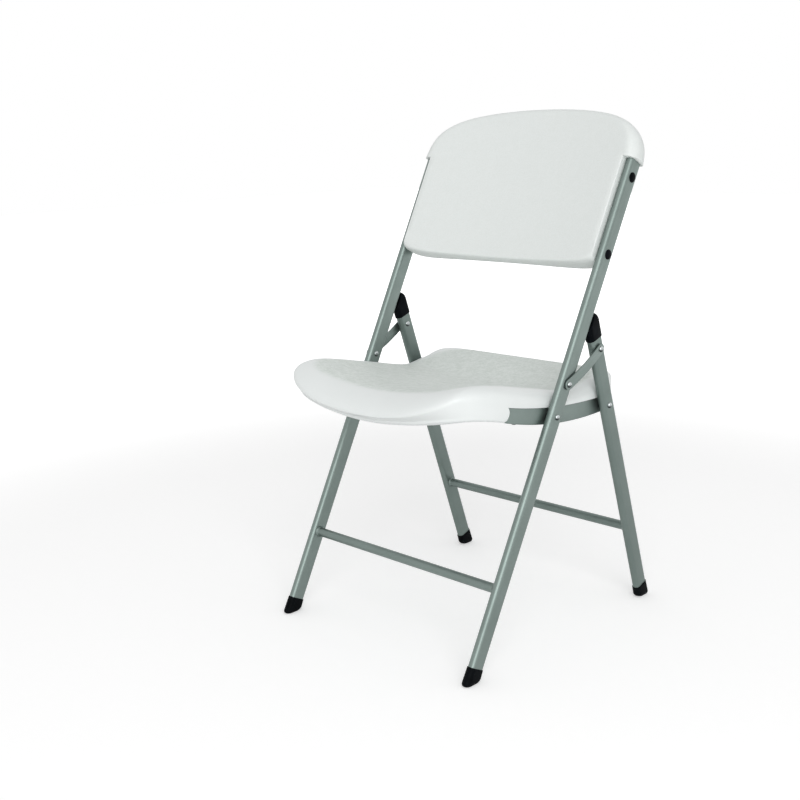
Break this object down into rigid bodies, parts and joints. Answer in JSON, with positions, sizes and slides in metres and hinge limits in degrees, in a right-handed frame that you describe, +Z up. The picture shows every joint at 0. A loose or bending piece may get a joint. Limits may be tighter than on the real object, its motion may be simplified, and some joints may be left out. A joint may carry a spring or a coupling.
{
  "type": "folding chair",
  "caption": "Folding chair with a contoured plastic seat and back on a flat-oval steel frame that folds flat on side links.",
  "frame": {"origin": "on the floor, under the middle of the open chair's length and width", "axes": "+Z up, the sitter faces -Y, +X to the chair's side that is the viewer's right when looking along +Y"},
  "size_m": [0.4578, 0.5272, 0.8574],
  "materials": {
    "frame_paint": "satin grey-green powder coat on steel",
    "white_plastic": "white blow-moulded polyethylene, fine grain",
    "black_plastic": "black moulded plastic, slight sheen",
    "foot_rubber": "black rubber, slight sheen",
    "zinc_steel": "zinc-plated steel rivets and screws"
  },
  "bodies": {
    "front_frame": {"back_panel": "white_plastic", "front_crossbar": "frame_paint", "front_tube_left": "frame_paint", "front_tube_right": "frame_paint", "front_foot_left": "foot_rubber", "front_foot_right": "foot_rubber", "front_seat_rivet_left": "zinc_steel", "front_seat_rivet_right": "zinc_steel", "front_link_rivet_left": "zinc_steel", "front_link_rivet_right": "zinc_steel", "back_plug_left_lower": "black_plastic", "back_plug_left_upper": "black_plastic", "back_plug_right_lower": "black_plastic", "back_plug_right_upper": "black_plastic", "back_screw_left_lower": "zinc_steel", "back_screw_left_upper": "zinc_steel", "back_screw_right_lower": "zinc_steel", "back_screw_right_upper": "zinc_steel"},
    "seat": {"seat_shell": "white_plastic", "seat_rail_left": "frame_paint", "seat_rail_right": "frame_paint", "front_seat_washer_left": "black_plastic", "front_seat_washer_right": "black_plastic", "rear_seat_washer_left": "black_plastic", "rear_seat_washer_right": "black_plastic", "seat_screw_left_1": "zinc_steel", "seat_screw_left_2": "zinc_steel", "seat_screw_left_3": "zinc_steel", "seat_screw_right_1": "zinc_steel", "seat_screw_right_2": "zinc_steel", "seat_screw_right_3": "zinc_steel"},
    "rear_frame": {"rear_crossbar": "frame_paint", "rear_tube_left": "frame_paint", "rear_tube_right": "frame_paint", "rear_foot_left": "foot_rubber", "rear_foot_right": "foot_rubber", "rear_cap_left": "black_plastic", "rear_cap_right": "black_plastic", "rear_seat_rivet_left": "zinc_steel", "rear_seat_rivet_right": "zinc_steel", "rear_link_pin_left": "zinc_steel", "rear_link_pin_right": "zinc_steel"},
    "link_left": {"link_bar_left": "frame_paint", "rear_link_rivet_left": "zinc_steel"},
    "link_right": {"link_bar_right": "frame_paint", "rear_link_rivet_right": "zinc_steel"}
  },
  "joints": [
    {"name": "seat_fold", "type": "hinge", "parent": "front_frame", "child": "seat", "pos_m": [0, -0.03358, 0.3925], "axis": [-1, 0, 0], "range_deg": [0, 100]},
    {"name": "rear_frame_fold", "type": "hinge", "parent": "seat", "child": "rear_frame", "pos_m": [0, 0.11131, 0.38564], "axis": [1, 0, 0], "range_deg": [0, 55.2]},
    {"name": "link_fold_left", "type": "hinge", "parent": "front_frame", "child": "link_left", "pos_m": [-0.2246, -0.00831, 0.44124], "axis": [-1, 0, 0], "range_deg": [0, 124.9]},
    {"name": "link_fold_right", "type": "hinge", "parent": "front_frame", "child": "link_right", "pos_m": [0.2246, -0.00831, 0.44124], "axis": [-1, 0, 0], "range_deg": [0, 124.9]}
  ],
  "couplings": [
    {"joint": "rear_frame_fold", "follows": "seat_fold", "ratio": 0.5514},
    {"joint": "link_fold_left", "follows": "seat_fold", "ratio": 1.2486},
    {"joint": "link_fold_right", "follows": "seat_fold", "ratio": 1.2486}
  ]
}
